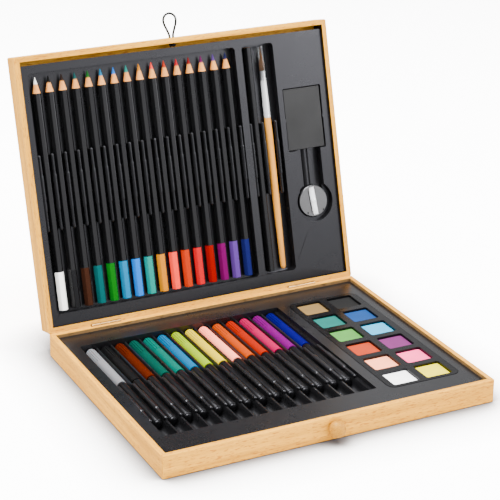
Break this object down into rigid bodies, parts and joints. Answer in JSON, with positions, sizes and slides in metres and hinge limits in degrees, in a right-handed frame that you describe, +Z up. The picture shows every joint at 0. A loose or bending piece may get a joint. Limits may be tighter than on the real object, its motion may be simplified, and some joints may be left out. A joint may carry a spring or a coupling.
{
  "type": "hinged colouring case",
  "caption": "Open hinged wooden case with formed trays: coloured pencils, brush, eraser and sharpener clipped in the lid, felt pens and a paint box in the base.",
  "frame": {"origin": "centre of the base half's underside, on the table", "axes": "+X to the right, +Y back towards the hinges, +Z up; the lid stands open on its stops"},
  "size_m": [0.26, 0.2878, 0.2338],
  "materials": {
    "base_front_rail": "clear matt lacquer",
    "base_back_rail": "clear matt lacquer",
    "base_side_rails": "clear matt lacquer",
    "base_board": "clear matt lacquer",
    "base_tray": "satin formed sheet",
    "knob": "clear satin lacquer",
    "knob_dowel": "bare",
    "lid_front_rail": "clear matt lacquer",
    "lid_back_rail": "clear matt lacquer",
    "lid_side_rails": "clear matt lacquer",
    "lid_board": "clear matt lacquer",
    "lid_tray": "satin formed sheet",
    "base_hinge_leaves": "plated",
    "lid_hinge_leaves": "plated",
    "hinge_pins": "plated",
    "base_hinge_screws": "plated",
    "lid_hinge_screws": "plated",
    "closure_loop": "woven elastic",
    "loop_knot": "woven elastic",
    "pencil_white": "gloss black lacquer over light wood; lead and dipped end in the colour 0.95 0.95 0.93",
    "pencil_black": "gloss black lacquer over light wood; lead and dipped end in the colour 0.05 0.05 0.05",
    "pencil_brown": "gloss black lacquer over light wood; lead and dipped end in the colour 0.36 0.21 0.15",
    "pencil_petrol": "gloss black lacquer over light wood; lead and dipped end in the colour 0 0.42 0.43",
    "pencil_green": "gloss black lacquer over light wood; lead and dipped end in the colour 0.12 0.52 0.18",
    "pencil_cyan": "gloss black lacquer over light wood; lead and dipped end in the colour 0 0.6 0.75",
    "pencil_sky": "gloss black lacquer over light wood; lead and dipped end in the colour 0.33 0.58 0.85",
    "pencil_aqua": "gloss black lacquer over light wood; lead and dipped end in the colour 0.22 0.62 0.6",
    "pencil_yellow": "gloss black lacquer over light wood; lead and dipped end in the colour 0.98 0.74 0",
    "pencil_salmon": "gloss black lacquer over light wood; lead and dipped end in the colour 0.9 0.42 0.36",
    "pencil_orange": "gloss black lacquer over light wood; lead and dipped end in the colour 0.88 0.28 0.03",
    "pencil_crimson": "gloss black lacquer over light wood; lead and dipped end in the colour 0.84 0.06 0.2",
    "pencil_red": "gloss black lacquer over light wood; lead and dipped end in the colour 0.6 0.05 0.1",
    "pencil_magenta": "gloss black lacquer over light wood; lead and dipped end in the colour 0.55 0.05 0.42",
    "pencil_violet": "gloss black lacquer over light wood; lead and dipped end in the colour 0.45 0.28 0.62",
    "pencil_navy": "gloss black lacquer over light wood; lead and dipped end in the colour 0.14 0.15 0.42",
    "graphite_pencil": "gloss black lacquer over light wood",
    "brush_handle": "clear lacquer",
    "brush_ferrule": "polished",
    "brush_bristles": "soft hair",
    "brush_sleeve": "clear",
    "eraser_carton": "printed black card without marks",
    "eraser": "matt",
    "sharpener_body": "die cast",
    "sharpener_blade": "ground",
    "pen_grey": "cap in this colour, black barrel",
    "pen_black": "cap in this colour, black barrel",
    "pen_brown": "cap in this colour, black barrel",
    "pen_forest": "cap in this colour, black barrel",
    "pen_teal": "cap in this colour, black barrel",
    "pen_cyan": "cap in this colour, black barrel",
    "pen_lime": "cap in this colour, black barrel",
    "pen_yellow": "cap in this colour, black barrel",
    "pen_peach": "cap in this colour, black barrel",
    "pen_amber": "cap in this colour, black barrel",
    "pen_scarlet": "cap in this colour, black barrel",
    "pen_pink": "cap in this colour, black barrel",
    "pen_purple": "cap in this colour, black barrel",
    "pen_blue": "cap in this colour, black barrel",
    "paint_box": "gloss black",
    "paints": "pressed paint, each in a colour of its own"
  },
  "bodies": {
    "base": {"base_front_rail": "base_front_rail", "base_back_rail": "base_back_rail", "base_side_rails": "base_side_rails", "base_board": "base_board", "base_tray": "base_tray", "knob": "knob", "knob_dowel": "knob_dowel", "base_hinge_leaves": "base_hinge_leaves", "base_hinge_screws": "base_hinge_screws", "hinge_pins": "hinge_pins"},
    "lid": {"lid_front_rail": "lid_front_rail", "lid_back_rail": "lid_back_rail", "lid_side_rails": "lid_side_rails", "lid_board": "lid_board", "lid_tray": "lid_tray", "lid_hinge_leaves": "lid_hinge_leaves", "lid_hinge_screws": "lid_hinge_screws", "closure_loop": "closure_loop", "loop_knot": "loop_knot"},
    "pencil_white_body": {"pencil_white": "pencil_white"},
    "pencil_black_body": {"pencil_black": "pencil_black"},
    "pencil_brown_body": {"pencil_brown": "pencil_brown"},
    "pencil_petrol_body": {"pencil_petrol": "pencil_petrol"},
    "pencil_green_body": {"pencil_green": "pencil_green"},
    "pencil_cyan_body": {"pencil_cyan": "pencil_cyan"},
    "pencil_sky_body": {"pencil_sky": "pencil_sky"},
    "pencil_aqua_body": {"pencil_aqua": "pencil_aqua"},
    "pencil_yellow_body": {"pencil_yellow": "pencil_yellow"},
    "pencil_salmon_body": {"pencil_salmon": "pencil_salmon"},
    "pencil_orange_body": {"pencil_orange": "pencil_orange"},
    "pencil_crimson_body": {"pencil_crimson": "pencil_crimson"},
    "pencil_red_body": {"pencil_red": "pencil_red"},
    "pencil_magenta_body": {"pencil_magenta": "pencil_magenta"},
    "pencil_violet_body": {"pencil_violet": "pencil_violet"},
    "pencil_navy_body": {"pencil_navy": "pencil_navy"},
    "graphite_pencil_body": {"graphite_pencil": "graphite_pencil"},
    "brush_body": {"brush_handle": "brush_handle", "brush_ferrule": "brush_ferrule", "brush_bristles": "brush_bristles", "brush_sleeve": "brush_sleeve"},
    "eraser_body": {"eraser_carton": "eraser_carton", "eraser": "eraser"},
    "sharpener_body": {"sharpener_body": "sharpener_body", "sharpener_blade": "sharpener_blade"},
    "pen_grey_body": {"pen_grey": "pen_grey"},
    "pen_black_body": {"pen_black": "pen_black"},
    "pen_brown_body": {"pen_brown": "pen_brown"},
    "pen_forest_body": {"pen_forest": "pen_forest"},
    "pen_teal_body": {"pen_teal": "pen_teal"},
    "pen_cyan_body": {"pen_cyan": "pen_cyan"},
    "pen_lime_body": {"pen_lime": "pen_lime"},
    "pen_yellow_body": {"pen_yellow": "pen_yellow"},
    "pen_peach_body": {"pen_peach": "pen_peach"},
    "pen_amber_body": {"pen_amber": "pen_amber"},
    "pen_scarlet_body": {"pen_scarlet": "pen_scarlet"},
    "pen_pink_body": {"pen_pink": "pen_pink"},
    "pen_purple_body": {"pen_purple": "pen_purple"},
    "pen_blue_body": {"pen_blue": "pen_blue"},
    "paint_box_body": {"paint_box": "paint_box", "paints": "paints"}
  },
  "joints": [
    {"name": "lid_hinge", "type": "hinge", "parent": "base", "child": "lid", "pos_m": [0, 0.1035, 0.0177], "axis": [1, 0, 0], "range_deg": [0, 105.3]},
    {"name": "pencil_white_lift", "type": "slide", "parent": "lid", "child": "pencil_white_body", "axis": [0, 0.9646, -0.2639], "range_m": [-0.02, 0]},
    {"name": "pencil_black_lift", "type": "slide", "parent": "lid", "child": "pencil_black_body", "axis": [0, 0.9646, -0.2639], "range_m": [-0.02, 0]},
    {"name": "pencil_brown_lift", "type": "slide", "parent": "lid", "child": "pencil_brown_body", "axis": [0, 0.9646, -0.2639], "range_m": [-0.02, 0]},
    {"name": "pencil_petrol_lift", "type": "slide", "parent": "lid", "child": "pencil_petrol_body", "axis": [0, 0.9646, -0.2639], "range_m": [-0.02, 0]},
    {"name": "pencil_green_lift", "type": "slide", "parent": "lid", "child": "pencil_green_body", "axis": [0, 0.9646, -0.2639], "range_m": [-0.02, 0]},
    {"name": "pencil_cyan_lift", "type": "slide", "parent": "lid", "child": "pencil_cyan_body", "axis": [0, 0.9646, -0.2639], "range_m": [-0.02, 0]},
    {"name": "pencil_sky_lift", "type": "slide", "parent": "lid", "child": "pencil_sky_body", "axis": [0, 0.9646, -0.2639], "range_m": [-0.02, 0]},
    {"name": "pencil_aqua_lift", "type": "slide", "parent": "lid", "child": "pencil_aqua_body", "axis": [0, 0.9646, -0.2639], "range_m": [-0.02, 0]},
    {"name": "pencil_yellow_lift", "type": "slide", "parent": "lid", "child": "pencil_yellow_body", "axis": [0, 0.9646, -0.2639], "range_m": [-0.02, 0]},
    {"name": "pencil_salmon_lift", "type": "slide", "parent": "lid", "child": "pencil_salmon_body", "axis": [0, 0.9646, -0.2639], "range_m": [-0.02, 0]},
    {"name": "pencil_orange_lift", "type": "slide", "parent": "lid", "child": "pencil_orange_body", "axis": [0, 0.9646, -0.2639], "range_m": [-0.02, 0]},
    {"name": "pencil_crimson_lift", "type": "slide", "parent": "lid", "child": "pencil_crimson_body", "axis": [0, 0.9646, -0.2639], "range_m": [-0.02, 0]},
    {"name": "pencil_red_lift", "type": "slide", "parent": "lid", "child": "pencil_red_body", "axis": [0, 0.9646, -0.2639], "range_m": [-0.02, 0]},
    {"name": "pencil_magenta_lift", "type": "slide", "parent": "lid", "child": "pencil_magenta_body", "axis": [0, 0.9646, -0.2639], "range_m": [-0.02, 0]},
    {"name": "pencil_violet_lift", "type": "slide", "parent": "lid", "child": "pencil_violet_body", "axis": [0, 0.9646, -0.2639], "range_m": [-0.02, 0]},
    {"name": "pencil_navy_lift", "type": "slide", "parent": "lid", "child": "pencil_navy_body", "axis": [0, 0.9646, -0.2639], "range_m": [-0.02, 0]},
    {"name": "graphite_pencil_lift", "type": "slide", "parent": "lid", "child": "graphite_pencil_body", "axis": [0, 0.9646, -0.2639], "range_m": [-0.02, 0]},
    {"name": "brush_lift", "type": "slide", "parent": "lid", "child": "brush_body", "axis": [0, 0.9646, -0.2639], "range_m": [-0.02, 0]},
    {"name": "eraser_lift", "type": "slide", "parent": "lid", "child": "eraser_body", "axis": [0, 0.9646, -0.2639], "range_m": [-0.02, 0]},
    {"name": "sharpener_lift", "type": "slide", "parent": "lid", "child": "sharpener_body", "axis": [0, 0.9646, -0.2639], "range_m": [-0.02, 0]},
    {"name": "pen_grey_lift", "type": "slide", "parent": "base", "child": "pen_grey_body", "axis": [0, 0, -1], "range_m": [-0.02, 0]},
    {"name": "pen_black_lift", "type": "slide", "parent": "base", "child": "pen_black_body", "axis": [0, 0, -1], "range_m": [-0.02, 0]},
    {"name": "pen_brown_lift", "type": "slide", "parent": "base", "child": "pen_brown_body", "axis": [0, 0, -1], "range_m": [-0.02, 0]},
    {"name": "pen_forest_lift", "type": "slide", "parent": "base", "child": "pen_forest_body", "axis": [0, 0, -1], "range_m": [-0.02, 0]},
    {"name": "pen_teal_lift", "type": "slide", "parent": "base", "child": "pen_teal_body", "axis": [0, 0, -1], "range_m": [-0.02, 0]},
    {"name": "pen_cyan_lift", "type": "slide", "parent": "base", "child": "pen_cyan_body", "axis": [0, 0, -1], "range_m": [-0.02, 0]},
    {"name": "pen_lime_lift", "type": "slide", "parent": "base", "child": "pen_lime_body", "axis": [0, 0, -1], "range_m": [-0.02, 0]},
    {"name": "pen_yellow_lift", "type": "slide", "parent": "base", "child": "pen_yellow_body", "axis": [0, 0, -1], "range_m": [-0.02, 0]},
    {"name": "pen_peach_lift", "type": "slide", "parent": "base", "child": "pen_peach_body", "axis": [0, 0, -1], "range_m": [-0.02, 0]},
    {"name": "pen_amber_lift", "type": "slide", "parent": "base", "child": "pen_amber_body", "axis": [0, 0, -1], "range_m": [-0.02, 0]},
    {"name": "pen_scarlet_lift", "type": "slide", "parent": "base", "child": "pen_scarlet_body", "axis": [0, 0, -1], "range_m": [-0.02, 0]},
    {"name": "pen_pink_lift", "type": "slide", "parent": "base", "child": "pen_pink_body", "axis": [0, 0, -1], "range_m": [-0.02, 0]},
    {"name": "pen_purple_lift", "type": "slide", "parent": "base", "child": "pen_purple_body", "axis": [0, 0, -1], "range_m": [-0.02, 0]},
    {"name": "pen_blue_lift", "type": "slide", "parent": "base", "child": "pen_blue_body", "axis": [0, 0, -1], "range_m": [-0.02, 0]},
    {"name": "paint_box_lift", "type": "slide", "parent": "base", "child": "paint_box_body", "axis": [0, 0, -1], "range_m": [-0.02, 0]}
  ]
}
